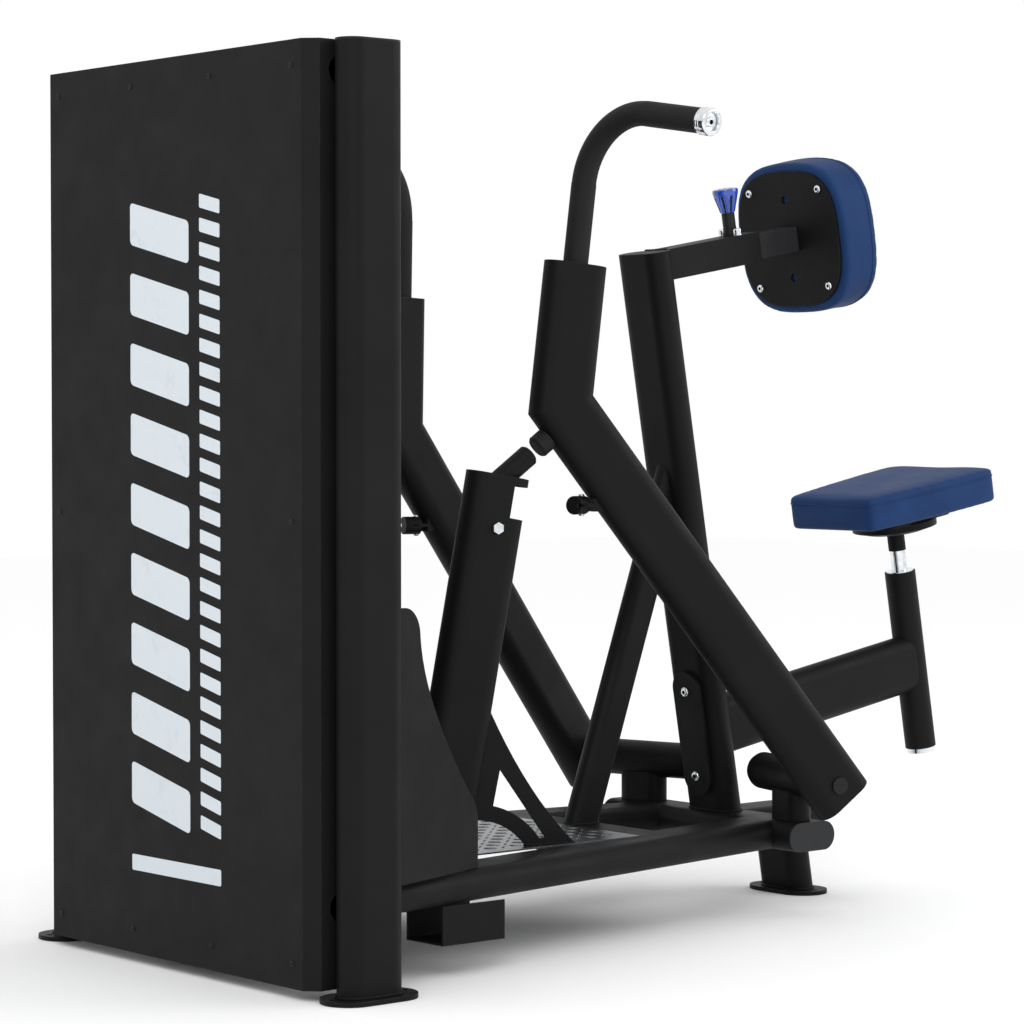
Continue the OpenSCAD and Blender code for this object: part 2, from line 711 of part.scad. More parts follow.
tower_upright();
floor_plate();
tower_cap();
tower_cover();
cover_screw();
tower_cross_tube();
guide_rod();
weight_plate();
stack_buffer();
stack_head();
selector_pin();
stack_guard();
base_rail();
cross_tube();
cross_cap();
rear_stub();
rear_foot();
pulley_box();
pulley_axle();
near_low_pulley();
far_low_pulley();
foot_plate();
stop_post();
post_gusset();
stop_stub();
column();
brace();
column_plate();
plate_bolt();
seat_beam();
seat_tube();
seat_liner();
seat_rod();
seat_bracket();
seat_pad();
arm_outer();
arm_liner();
arm_inner();
chest_plate();
chest_bolt();
chest_pad();
arm_pin_body();
arm_pin_knob();
pivot_riser();
pivot_housing();
pivot_bush();
near_lever();
near_handle();
near_end_cap();
near_shaft();
near_link();
near_link_bolt();
near_bumper();
far_lever();
far_handle();
far_end_cap();
far_shaft();
far_link();
far_link_bolt();
far_bumper();
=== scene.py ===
import json
import math

import bmesh
import bpy
from mathutils import Matrix, Vector, noise
from mathutils.bvhtree import BVHTree


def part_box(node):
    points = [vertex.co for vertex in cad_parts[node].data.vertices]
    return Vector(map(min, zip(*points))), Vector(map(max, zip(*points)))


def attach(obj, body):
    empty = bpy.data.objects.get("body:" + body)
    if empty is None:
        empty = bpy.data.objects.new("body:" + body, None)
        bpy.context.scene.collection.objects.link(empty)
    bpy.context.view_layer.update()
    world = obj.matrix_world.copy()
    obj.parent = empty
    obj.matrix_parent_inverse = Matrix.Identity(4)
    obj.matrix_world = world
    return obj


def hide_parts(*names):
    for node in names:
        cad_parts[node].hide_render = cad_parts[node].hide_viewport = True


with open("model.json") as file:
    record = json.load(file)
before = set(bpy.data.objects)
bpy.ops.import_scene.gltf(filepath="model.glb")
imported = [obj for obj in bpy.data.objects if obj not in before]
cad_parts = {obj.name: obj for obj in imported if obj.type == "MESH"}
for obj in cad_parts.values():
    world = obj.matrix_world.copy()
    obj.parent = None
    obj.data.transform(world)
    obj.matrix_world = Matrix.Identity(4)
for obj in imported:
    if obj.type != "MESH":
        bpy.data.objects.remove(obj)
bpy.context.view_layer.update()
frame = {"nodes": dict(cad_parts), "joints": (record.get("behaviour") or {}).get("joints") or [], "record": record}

NODES = frame["nodes"]
JOINTS = {joint["name"]: joint for joint in frame["joints"]}
UP = Vector((0, 0, 1))
ACROSS = Vector((0, 1, 0))
REACH = Vector(JOINTS["chest_reach"]["axis"]).normalized()      # along the chest arm and the seat beam
RISE = Vector(JOINTS["seat_height"]["axis"]).normalized()       # up the column and the seat post


# ---------------------------------------------------------------- places read from the frame
def extent(node, direction):
    """Lowest and highest reach of a CAD node along a direction."""
    values = [v.co.dot(direction) for v in NODES[node].data.vertices]
    return min(values), max(values)


def middle(node):
    low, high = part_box(node)
    return (low + high) / 2


def axes(origin, x, y, z):
    """A matrix whose columns are three directions, placed at origin."""
    turn = Matrix((x, y, z)).transposed().to_4x4()
    return Matrix.Translation(origin) @ turn


def facing(origin, direction, hint=UP):
    """A matrix with +Z along direction."""
    z = Vector(direction).normalized()
    if abs(z.dot(hint)) > 0.95:
        hint = Vector((1, 0, 0))
    x = hint.cross(z).normalized()
    return axes(origin, x, z.cross(x), z)


def solids(node):
    """The vertices of each separate solid of a node, in order of their middles."""
    mesh = NODES[node].data
    parent = list(range(len(mesh.vertices)))

    def root(i):
        while parent[i] != i:
            parent[i] = parent[parent[i]]
            i = parent[i]
        return i

    first_at = {}
    for v in mesh.vertices:
        key = tuple(round(c, 5) for c in v.co)
        parent[v.index] = root(first_at.setdefault(key, v.index))
    for edge in mesh.edges:
        parent[root(edge.vertices[0])] = root(edge.vertices[1])
    groups = {}
    for v in mesh.vertices:
        groups.setdefault(root(v.index), []).append(v.co.copy())

    def heart(group):
        return tuple(round(sum(c[i] for c in group) / len(group), 4) for i in range(3))

    return sorted(groups.values(), key=heart)


def centres(node):
    """Middle of the box round each separate solid of a node."""
    return [box_middle(points) for points in solids(node)]


def box_middle(points):
    low = Vector([min(p[i] for p in points) for i in range(3)])
    high = Vector([max(p[i] for p in points) for i in range(3)])
    return (low + high) / 2


# ---------------------------------------------------------------- materials
class Shader:
    """Adds shader nodes to a new material and links them."""

    def __init__(self, name):
        self.material = bpy.data.materials.new(name)
        self.material.use_nodes = True
        self.tree = self.material.node_tree
        self.shader = self.tree.nodes["Principled BSDF"]
        self.coords = self.tree.nodes.new("ShaderNodeTexCoord").outputs["Object"]

    def put(self, socket, value):
        if isinstance(value, bpy.types.NodeSocket):
            self.tree.links.new(value, socket)
        else:
            socket.default_value = value

    def noise(self, scale, detail=4.0, rough=0.55, coords=None):
        node = self.tree.nodes.new("ShaderNodeTexNoise")
        node.inputs["Scale"].default_value = scale
        node.inputs["Detail"].default_value = detail
        node.inputs["Roughness"].default_value = rough
        self.tree.links.new(coords or self.coords, node.inputs["Vector"])
        return node.outputs["Fac"]

    def cells(self, scale, feature="F1", coords=None):
        node = self.tree.nodes.new("ShaderNodeTexVoronoi")
        node.feature = feature
        node.inputs["Scale"].default_value = scale
        self.tree.links.new(coords or self.coords, node.inputs["Vector"])
        return node.outputs["Distance"]

    def stretched(self, x, y, z):
        node = self.tree.nodes.new("ShaderNodeMapping")
        node.inputs["Scale"].default_value = (x, y, z)
        self.tree.links.new(self.coords, node.inputs["Vector"])
        return node.outputs["Vector"]

    def span(self, value, low, high, start=0.0, end=1.0):
        node = self.tree.nodes.new("ShaderNodeMapRange")
        self.tree.links.new(value, node.inputs["Value"])
        node.inputs["From Min"].default_value = start
        node.inputs["From Max"].default_value = end
        node.inputs["To Min"].default_value = low
        node.inputs["To Max"].default_value = high
        return node.outputs["Result"]

    def math(self, kind, a, b=0.0):
        node = self.tree.nodes.new("ShaderNodeMath")
        node.operation = kind
        self.put(node.inputs[0], a)
        self.put(node.inputs[1], b)
        return node.outputs[0]

    def mix(self, factor, a, b):
        node = self.tree.nodes.new("ShaderNodeMix")
        node.data_type = "RGBA"
        self.put(node.inputs[0], factor)
        self.put(node.inputs[6], a)
        self.put(node.inputs[7], b)
        return node.outputs[2]

    def rounded(self, radius):
        """Normals that round every corner by a small radius."""
        node = self.tree.nodes.new("ShaderNodeBevel")
        node.inputs["Radius"].default_value = radius
        node.samples = 4
        return node.outputs["Normal"]

    def bump(self, height, strength, distance, below=None):
        node = self.tree.nodes.new("ShaderNodeBump")
        node.inputs["Strength"].default_value = strength
        node.inputs["Distance"].default_value = distance
        self.tree.links.new(height, node.inputs["Height"])
        if below is not None:
            self.tree.links.new(below, node.inputs["Normal"])
        return node.outputs["Normal"]

    def corners(self, width):
        """Near 1 on a corner: there the rounded normal leaves the face normal. It carries chipped and worn
        corners, and in the powder coat also a painted highlight.
        """
        geometry = self.tree.nodes.new("ShaderNodeNewGeometry")
        dot = self.tree.nodes.new("ShaderNodeVectorMath")
        dot.operation = "DOT_PRODUCT"
        self.tree.links.new(self.rounded(width), dot.inputs[0])
        self.tree.links.new(geometry.outputs["Normal"], dot.inputs[1])
        return self.span(dot.outputs["Value"], 1.0, 0.0, 0.78, 0.985)

    def done(self, **inputs):
        for key, value in inputs.items():
            self.put(self.shader.inputs[key.replace("_", " ")], value)
        return self.material


def rgb(red, green, blue):
    """A display colour, 0 to 255, as scene-linear."""
    def linear(value):
        value = value / 255
        return value / 12.92 if value <= 0.04045 else ((value + 0.055) / 1.055) ** 2.4
    return (linear(red), linear(green), linear(blue), 1.0)


def powder_coat(name, dark, light, roughness=0.5, grain=1100.0):
    """Fine leathery powder coat with faint mottling, a few scuffs, and lighter corners: part edge wear, part
    painted highlight for the sheen along tube edges.
    """
    s = Shader(name)
    broad = s.noise(5.0, 3.0, 0.5)
    scuff = s.noise(42.0, 6.0, 0.7)
    # corners lighten to grey in scuffed patches: part edge wear, part painted highlight standing in for edge sheen
    wear_and_highlight = s.math("MULTIPLY", s.corners(0.0025), s.span(scuff, 0.0, 0.5, 0.42, 0.66))
    base = s.mix(s.span(broad, 0.0, 1.0, 0.3, 0.7), dark, light)
    base = s.mix(wear_and_highlight, base, rgb(84, 86, 89))
    rough = s.span(s.noise(16.0, 4.0, 0.6), roughness - 0.05, roughness + 0.07, 0.3, 0.7)
    normal = s.bump(s.noise(grain, 3.0, 0.6), 0.3, 0.0005, s.rounded(0.0018))
    return s.done(Base_Color=base, Roughness=rough, Normal=normal, Specular_IOR_Level=0.11)


def plated(name):
    """Polished plating with a faint haze and fine turning marks."""
    s = Shader(name)
    haze = s.noise(70.0, 5.0, 0.6)
    base = s.mix(s.span(haze, 0.0, 1.0, 0.3, 0.7), rgb(206, 211, 216), rgb(236, 238, 240))
    marks = s.noise(9.0, 3.0, 0.6, s.stretched(1.0, 1.0, 160.0))
    normal = s.bump(marks, 0.05, 0.0003, s.rounded(0.0008))
    return s.done(Base_Color=base, Metallic=1.0, Roughness=s.span(haze, 0.07, 0.2, 0.35, 0.7), Normal=normal)


def shaft_steel(name, black_beyond=0.38):
    """Plated like the rest, but painted black on the outer head, beyond a distance from the centre plane."""
    s = Shader(name)
    split = s.tree.nodes.new("ShaderNodeSeparateXYZ")
    s.tree.links.new(s.coords, split.inputs[0])
    outside = s.math("GREATER_THAN", s.math("ABSOLUTE", split.outputs["Y"]), black_beyond)
    haze = s.noise(70.0, 5.0, 0.6)
    steel = s.mix(haze, rgb(206, 211, 216), rgb(236, 238, 240))
    base = s.mix(outside, steel, rgb(24, 24, 25))
    metallic = s.math("SUBTRACT", 1.0, outside)
    rough = s.math("ADD", s.span(haze, 0.1, 0.2), s.math("MULTIPLY", outside, 0.3))
    normal = s.bump(s.noise(600.0, 3.0, 0.6), 0.1, 0.0003, s.rounded(0.0015))
    return s.done(Base_Color=base, Metallic=metallic, Roughness=rough, Normal=normal, Specular_IOR_Level=0.2)


def moulded(name, colour, other, roughness=0.4, grain=1300.0, depth=0.0003, coat=0.0):
    """Moulded plastic: soft colour drift, fine spark-eroded grain."""
    s = Shader(name)
    broad = s.noise(22.0, 4.0, 0.6)
    normal = s.bump(s.noise(grain, 2.0, 0.5), 0.25, depth, s.rounded(0.001))
    return s.done(Base_Color=s.mix(broad, colour, other), Normal=normal, Coat_Weight=coat,
                  Roughness=s.span(broad, roughness - 0.08, roughness + 0.1), Specular_IOR_Level=0.2)


def rubber(name):
    """Dull rubber with a pebbled skin and pale dust in patches."""
    s = Shader(name)
    pebble = s.cells(900.0)
    dust = s.span(s.noise(30.0, 5.0, 0.65), 0.0, 1.0, 0.45, 0.75)
    base = s.mix(s.math("MULTIPLY", dust, 0.5), rgb(26, 26, 27), rgb(38, 38, 39))
    normal = s.bump(pebble, 0.5, 0.0004, s.rounded(0.001))
    return s.done(Base_Color=base, Roughness=s.span(dust, 0.62, 0.8), Normal=normal, Specular_IOR_Level=0.16)


def leathercloth(name, dark, light):
    """Coated upholstery cloth: pebble grain over fine pores, lighter and rougher where it is rubbed, with a faint
    sheen.
    """
    s = Shader(name)
    pebble = s.cells(620.0, "F1")
    pores = s.noise(1900.0, 3.0, 0.6)
    rub = s.span(s.noise(7.0, 4.0, 0.6), 0.0, 1.0, 0.35, 0.7)
    base = s.mix(rub, dark, light)
    base = s.mix(s.span(pebble, 0.0, 0.22, 0.2, 0.9), base, dark)
    normal = s.bump(pebble, 0.35, 0.0006, s.bump(pores, 0.2, 0.0002))
    return s.done(Base_Color=base, Roughness=s.span(rub, 0.5, 0.64), Normal=normal, Specular_IOR_Level=0.08,
                  Sheen_Weight=0.01, Sheen_Roughness=0.5)


def tread_alloy(name):
    """Rolled aluminium: fine rolling lines in the roughness and bump, with a colour that drifts at random."""
    s = Shader(name)
    lines = s.noise(18.0, 4.0, 0.7, s.stretched(1.0, 60.0, 1.0))
    stain = s.noise(14.0, 5.0, 0.6)
    base = s.mix(s.span(stain, 0.0, 1.0, 0.3, 0.7), rgb(84, 87, 90), rgb(124, 127, 130))
    return s.done(Base_Color=base, Metallic=1.0, Roughness=s.span(lines, 0.22, 0.42, 0.3, 0.7),
                  Normal=s.bump(lines, 0.12, 0.0003, s.rounded(0.0006)))


def clear_blue(name):
    """Tinted see-through plastic of the pull knob."""
    s = Shader(name)
    depth = s.noise(45.0, 4.0, 0.6)
    normal = s.bump(s.noise(300.0, 3.0, 0.5), 0.05, 0.0003, s.rounded(0.0012))
    base = s.mix(depth, rgb(24, 66, 178), rgb(64, 110, 222))
    return s.done(Base_Color=base, Normal=normal, Coat_Weight=0.6, Roughness=s.span(depth, 0.06, 0.16),
                  Transmission_Weight=0.55, IOR=1.49)


def cast_iron(name):
    """Painted casting: coarse skin, chips along the corners."""
    s = Shader(name)
    skin = s.noise(420.0, 5.0, 0.7)
    chips = s.math("MULTIPLY", s.corners(0.004), s.span(s.noise(60.0, 6.0, 0.7), 0.0, 1.0, 0.45, 0.6))
    base = s.mix(chips, rgb(34, 34, 36), rgb(96, 94, 91))
    normal = s.bump(skin, 0.4, 0.0008, s.rounded(0.002))
    return s.done(Base_Color=base, Roughness=s.span(skin, 0.45, 0.65), Normal=normal)


def printed_vinyl(name):
    """Pale cut-vinyl striping with soft wear."""
    s = Shader(name)
    wear = s.span(s.noise(26.0, 6.0, 0.7), 0.0, 0.25, 0.55, 0.75)
    base = s.mix(wear, rgb(204, 212, 218), rgb(150, 158, 164))
    normal = s.bump(s.noise(700.0, 2.0, 0.5), 0.1, 0.0002)
    return s.done(Base_Color=base, Roughness=s.span(wear, 0.4, 0.6), Normal=normal)


MATERIALS = {
    "black_coat": powder_coat("black_coat", rgb(17, 17, 18), rgb(21, 21, 22)),
    "cover_coat": powder_coat("cover_coat", rgb(21, 21, 22), rgb(24, 24, 25), 0.56),
    "black_plastic": moulded("black_plastic", rgb(24, 24, 25), rgb(32, 32, 33), 0.42),
    "bright_steel": plated("bright_steel"),
    "plate_iron": cast_iron("plate_iron"),
    "tread_alloy": tread_alloy("tread_alloy"),
    "blue_plastic": moulded("blue_plastic", rgb(26, 72, 184), rgb(40, 92, 212), 0.24, coat=0.4),
    "blue_cover": leathercloth("blue_cover", rgb(26, 50, 90), rgb(33, 61, 106)),
    "black_rubber": rubber("black_rubber"),
    "bush_bronze": moulded("bush_bronze", rgb(150, 116, 62), rgb(168, 132, 76), 0.35),
    "cap_plastic": moulded("cap_plastic", rgb(34, 35, 37), rgb(42, 43, 45), 0.45),
}
EXTRA = {
    "clear_blue": clear_blue("clear_blue"),
    "vinyl": printed_vinyl("vinyl"),
    # near-black painted shade for socket recesses and the floors of the knob's flutes
    "painted_recess_shade": moulded("painted_recess_shade", rgb(16, 16, 17), rgb(24, 24, 25), 0.5),
}
for part in frame["record"]["subparts"]:
    data = NODES[part["node"]].data
    data.materials.clear()
    data.materials.append(MATERIALS[part["material_slot"]])
# the inner arm gets a lighter coat than the frame: painted reflection, standing in for the light the arm reflects
NODES["arm_inner"].data.materials[0] = powder_coat("reflection_coat", rgb(40, 40, 42), rgb(56, 56, 58), 0.36)
for shaft in ("near_shaft", "far_shaft"):
    NODES[shaft].data.materials[0] = shaft_steel(shaft + "_steel")


# ---------------------------------------------------------------- mesh helpers
def piece(name, mesh, body, material, smooth=True, sharp=35):
    """Puts a finished mesh into the scene, on a body."""
    obj = bpy.data.objects.new(name, mesh)
    bpy.context.scene.collection.objects.link(obj)
    for m in (material if isinstance(material, (list, tuple)) else [material]):
        mesh.materials.append(m)
    if smooth:
        mesh.shade_smooth()
        mesh.set_sharp_from_angle(angle=math.radians(sharp))
    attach(obj, body)
    return obj


def from_bmesh(name, bm):
    bmesh.ops.recalc_face_normals(bm, faces=bm.faces)
    mesh = bpy.data.meshes.new(name)
    bm.to_mesh(mesh)
    bm.free()
    return mesh


def bridge(bm, below, above, closed=True, material=0):
    """Quads between two rings of vertices."""
    count = len(below)
    for i in range(count if closed else count - 1):
        j = (i + 1) % count
        face = bm.faces.new((below[i], below[j], above[j], above[i]))
        face.material_index = material


def lathe(bm, place, profile, steps=40, cap=True, material=0):
    """Turns (radius, height) points about the local Z axis of place."""
    rings = []
    for radius, height in profile:
        rings.append([bm.verts.new(place @ Vector((radius * math.cos(a), radius * math.sin(a), height)))
                      for a in (2 * math.pi * k / steps for k in range(steps))])
    for below, above in zip(rings, rings[1:]):
        bridge(bm, below, above, material=material)
    if cap:
        for ring in (rings[0], rings[-1]):
            bm.faces.new(ring).material_index = material
    return rings


def sweep(bm, points, section, closed=False, material=0, caps=True):
    """Carries a ring of (side, up) offsets along a path, with a steady frame."""
    count = len(points)
    tangents = []
    for i in range(count):
        before = points[i - 1] if (i or closed) else points[i]
        after = points[(i + 1) % count] if (i < count - 1 or closed) else points[i]
        tangents.append((after - before).normalized())
    side = tangents[0].orthogonal().normalized()
    rings = []
    for i in range(count):
        if i:
            side = tangents[i - 1].rotation_difference(tangents[i]) @ side
        side = (side - tangents[i] * side.dot(tangents[i])).normalized()
        up = tangents[i].cross(side)
        ring = section(i) if callable(section) else section
        rings.append([bm.verts.new(points[i] + side * x + up * y) for x, y in ring])
    for below, above in zip(rings, rings[1:]):
        bridge(bm, below, above, material=material)
    if closed:
        bridge(bm, rings[-1], rings[0], material=material)
    elif caps:
        for ring in (rings[0], rings[-1]):
            bm.faces.new(ring).material_index = material
    return rings


def circle(radius, steps=12):
    return [(radius * math.cos(2 * math.pi * k / steps), radius * math.sin(2 * math.pi * k / steps))
            for k in range(steps)]


def button_head(bm, place, radius, height, hexagon=0.45):
    """A domed screw head with a hexagon socket; material 1, on the socket walls and floor, is painted shade."""
    steps, bands = 36, 6
    rim, crown = 0.25, 0.52                 # height of the straight rim and width of the flat top, as shares
    dome = [(radius, 0.0), (radius, height * rim)]
    dome += [(radius * (crown + (1 - crown) * math.cos(a)), height * (rim + (1 - rim) * math.sin(a)))
             for a in (math.pi / 2 * k / bands for k in range(1, bands + 1))]
    rings = lathe(bm, place, dome, steps, cap=False)
    socket = radius * hexagon
    depth = height * 0.7
    mouth, floor = [], []
    for k in range(steps):
        angle = 2 * math.pi * k / steps
        reach = socket * math.cos(math.pi / 6) / math.cos((angle % (math.pi / 3)) - math.pi / 6)
        x, y = reach * math.cos(angle), reach * math.sin(angle)
        mouth.append(bm.verts.new(place @ Vector((x, y, height))))
        floor.append(bm.verts.new(place @ Vector((x, y, height - depth))))
    bridge(bm, rings[-1], mouth)
    # socket walls and floor take material 1, a near-black painted shade
    bridge(bm, mouth, floor, material=1)
    bm.faces.new(floor).material_index = 1
    bm.faces.new(rings[0])


# bright plating, with painted shade in the socket recesses
BRIGHT = [MATERIALS["bright_steel"], EXTRA["painted_recess_shade"]]


# ---------------------------------------------------------------- upholstery
def smooth_step(x):
    x = min(max(x, 0.0), 1.0)
    return x * x * (3 - 2 * x)


def squircle(half_x, half_y, power, steps=96):
    """A square outline with broad round corners and slightly bowed sides."""
    points = []
    for k in range(steps):
        angle = 2 * math.pi * k / steps
        c, s = math.cos(angle), math.sin(angle)
        points.append(Vector((half_x * math.copysign(abs(c) ** (2 / power), c),
                              half_y * math.copysign(abs(s) ** (2 / power), s))))
    return even(points, steps)


def even(points, count):
    """The same closed outline with evenly spaced points."""
    total, lengths = 0.0, [0.0]
    for a, b in zip(points, points[1:] + points[:1]):
        total += (b - a).length
        lengths.append(total)
    out, j = [], 0
    for k in range(count):
        goal = total * k / count
        while lengths[j + 1] < goal:
            j += 1
        part = (goal - lengths[j]) / max(lengths[j + 1] - lengths[j], 1e-9)
        out.append(points[j].lerp(points[(j + 1) % len(points)], part))
    return out


def seat_outline(length, front, rear, steps=120):
    """Seat plan: narrow front, sides that bow out towards a wider back."""
    side = []
    front_corner, rear_corner = 0.012, 0.030
    for k in range(steps + 1):
        t = k / steps
        run = length * t
        half = front + (rear - front) * math.sin(math.pi / 2 * min(t / 0.85, 1.0))
        for gap, corner in ((run, front_corner), (length - run, rear_corner)):
            if gap < corner:
                half -= corner - math.sqrt(max(corner ** 2 - (corner - gap) ** 2, 0.0))
        side.append(Vector((run - length / 2, half)))
    return even(side + [Vector((p.x, -p.y)) for p in reversed(side)], 128)


def inset(outline, amount):
    """The outline pulled in towards its centre line by amount."""
    count = len(outline)
    out = []
    for i in range(count):
        along = outline[(i + 1) % count] - outline[i - 1]
        normal = Vector((-along.y, along.x)).normalized()
        if normal.dot(outline[i]) > 0:
            normal = -normal
        out.append(outline[i] + normal * amount)
    return out


def pad_blank(name, place, outline, thick, edge):
    """A closed pad blank: flat back, upright sides, rounded front edge."""
    bm = bmesh.new()
    levels = [(0.004, 0.0), (0.0, 0.004), (0.0, thick * 0.5), (0.0, thick - edge)]
    levels += [(edge * (1 - math.cos(a)), thick - edge * (1 - math.sin(a)))
               for a in (math.pi / 8 * k for k in range(1, 5))]
    rings = []
    for pull, height in levels:
        rings.append([bm.verts.new(place @ Vector((p.x, p.y, height))) for p in inset(outline, pull)])
    for below, above in zip(rings, rings[1:]):
        bridge(bm, below, above)
    bm.faces.new(rings[0])
    bm.faces.new(rings[-1])
    return from_bmesh(name, bm)


def inflate(obj, place, cap):
    """Padded look by cloth pressure; the back stays flat and no point moves out more than cap."""
    voxel, pinned, fade = 0.005, 0.006, 0.012      # mesh size, pinned depth, depth where the swelling is full
    frames, even_rounds = 20, 14
    remesh = obj.modifiers.new("remesh", "REMESH")
    remesh.mode = "VOXEL"
    remesh.voxel_size = voxel
    apply_modifiers(obj)
    back = place.inverted()
    rest = [v.co.copy() for v in obj.data.vertices]
    normals = [v.normal.copy() for v in obj.data.vertices]
    group = obj.vertex_groups.new(name="pin")
    group.add([i for i, co in enumerate(rest) if (back @ co).z < pinned], 1.0, "REPLACE")
    cloth = obj.modifiers.new("cloth", "CLOTH")
    cloth.settings.quality = 5
    cloth.settings.mass = 0.4
    cloth.settings.tension_stiffness = 40
    cloth.settings.compression_stiffness = 40
    cloth.settings.shear_stiffness = 10
    cloth.settings.bending_stiffness = 2.0
    cloth.settings.use_pressure = True
    cloth.settings.uniform_pressure_force = 4.0
    cloth.settings.effector_weights.gravity = 0.0
    cloth.settings.vertex_group_mass = "pin"
    for step in range(1, frames + 1):
        bpy.context.scene.frame_set(step)
    apply_modifiers(obj)
    bpy.context.scene.frame_set(1)
    swell = [min(max((v.co - start).dot(normal), 0.0), cap)
             for v, start, normal in zip(obj.data.vertices, rest, normals)]
    swell = evened(obj.data, swell, even_rounds)
    for v, start, normal, rise in zip(obj.data.vertices, rest, normals, swell):
        v.co = start + normal * rise * smooth_step((back @ start).z / fade)
    return obj


def evened(mesh, values, rounds):
    """Values on the skin, averaged with their neighbours, so that a pad crowns without waves."""
    near = [[] for _ in values]
    for edge in mesh.edges:
        a, b = edge.vertices
        near[a].append(b)
        near[b].append(a)
    for _ in range(rounds):
        values = [(own + sum(values[j] for j in others)) / (len(others) + 1)
                  for own, others in zip(values, near)]
    return values


def apply_modifiers(obj):
    graph = bpy.context.evaluated_depsgraph_get()
    mesh = bpy.data.meshes.new_from_object(obj.evaluated_get(graph))
    obj.modifiers.clear()
    old = obj.data
    obj.data = mesh
    bpy.data.meshes.remove(old)


def relax(obj, rounds):
    """Evens out the steps that a voxel mesh leaves on rounded sides."""
    bm = bmesh.new()
    bm.from_mesh(obj.data)
    for _ in range(rounds):
        bmesh.ops.smooth_vert(bm, verts=bm.verts, factor=0.5,
                              use_axis_x=True, use_axis_y=True, use_axis_z=True)
    bm.to_mesh(obj.data)
    bm.free()


def subdivide(obj):
    modifier = obj.modifiers.new("fine", "SUBSURF")
    modifier.levels = modifier.render_levels = 1
    apply_modifiers(obj)


def on_surface(tree, place, point, out):
    """The skin point met coming in from well outside along out."""
    outside = 0.08
    start = place @ (point + out * outside)
    hit = tree.ray_cast(start, place.to_3x3() @ -out)
    return hit[0] if hit[0] else place @ point


def seam_path(obj, place, outline, height, pull, tilt):
    """A closed path on the pad skin: round the outline at a height, or in from its edge."""
    tree = BVHTree.FromObject(obj, bpy.context.evaluated_depsgraph_get())
    path = []
    line = inset(outline, pull)
    count = len(line)
    for i in range(count):
        along = line[(i + 1) % count] - line[i - 1]
        side = Vector((along.y, -along.x, 0)).normalized()
        if side.dot(line[i].to_3d()) < 0:
            side = -side
        out = (side * math.cos(tilt) + UP * math.sin(tilt)).normalized()
        path.append(on_surface(tree, place, Vector((line[i].x, line[i].y, height)), out))
    return path


def cord_seam(name, path, body, material, radius=0.0016):
    """A folded seam: a fine raised cord along the path."""
    bm = bmesh.new()
    sweep(bm, even(path, len(path) * 2), circle(radius, 8), closed=True)
    return piece(name, from_bmesh(name, bm), body, material)


def stitches(name, path, body, material, length=0.0042, gap=0.0028, radius=0.00055):
    """A row of thread stitches lying on the skin."""
    total = sum((b - a).length for a, b in zip(path, path[1:] + path[:1]))
    count = int(total / (length + gap))
    share, shown = 5, 4                     # points for each stitch with its gap, and for the stitch alone
    points = even(path, count * share)
    bm = bmesh.new()
    for k in range(count):
        run = [points[(k * share + j) % len(points)] for j in range(shown)]
        sweep(bm, run, circle(radius, 5))
    return piece(name, from_bmesh(name, bm), body, material)


THREAD = moulded("thread", rgb(58, 84, 134), rgb(78, 104, 156), 0.6)


def padded(name, node, body, place, outline, thick, edge, cap, seam_height, top_pull):
    """One upholstered pad: inflated cover, a side seam and a row of stitches round its face."""
    room = 0.3                              # share of the swelling that the blank leaves free
    mesh = pad_blank(name, place, outline, thick - cap * room, edge)
    obj = bpy.data.objects.new(name, mesh)
    bpy.context.scene.collection.objects.link(obj)
    inflate(obj, place, cap)
    relax(obj, 3)
    subdivide(obj)
    obj.data.materials.clear()
    obj.data.materials.append(MATERIALS["blue_cover"])
    obj.data.shade_smooth()
    seam = seam_path(obj, place, outline, seam_height, 0.0, 0.0)
    cord_seam(name + "_side_seam", seam, body, MATERIALS["blue_cover"])
    inner = seam_path(obj, place, outline, thick, top_pull, math.pi / 2)
    stitches(name + "_stitch", inner, body, THREAD)
    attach(obj, body)
    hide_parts(node)
    return obj


def make_chest_pad():
    back, front = extent("chest_pad", REACH)
    low, high = extent("chest_pad", RISE)
    half = (high - low) / 2
    origin = REACH * back + RISE * (low + high) / 2
    place = axes(origin, ACROSS, RISE, REACH)
    thick = front - back
    swell, bow = 0.004, 3.0
    outline = squircle(half + swell, half + swell, bow)
    padded("chest_cushion", "chest_pad", "chest_rest", place, outline, thick + swell, edge=0.007, cap=0.006,
           seam_height=thick - 0.014, top_pull=0.026)


def make_seat_pad():
    front, rear = extent("seat_pad", REACH)
    low, high = extent("seat_pad", RISE)
    side = extent("seat_pad", ACROSS)[1]
    origin = REACH * (front + rear) / 2 + RISE * low
    place = axes(origin, REACH, ACROSS, RISE)
    thick = high - low
    swell, narrowing = 0.003, 0.029
    outline = seat_outline(rear - front + 2 * swell, side - narrowing, side + swell)
    padded("seat_cushion", "seat_pad", "seat", place, outline, thick + swell, edge=0.003, cap=0.005,
           seam_height=thick - 0.012, top_pull=0.02)


# ---------------------------------------------------------------- turned chrome end caps
def turning_axis(node, away_from):
    """Centre and axis of a flat turned part; the axis points away from a given place."""
    points = [v.co.copy() for v in NODES[node].data.vertices]
    centre = sum(points, Vector()) / len(points)
    spread = Matrix(((0, 0, 0),) * 3)
    for p in points:
        d = p - centre
        for i in range(3):
            for j in range(3):
                spread[i][j] += d[i] * d[j]
    # inverse iteration settles on the direction of least spread
    solve = spread.inverted()
    axis = Vector((0.5, 0.4, 0.3))
    for _ in range(60):
        axis = (solve @ axis).normalized()
    if axis.dot(centre - away_from) < 0:
        axis = -axis
    return centre, axis


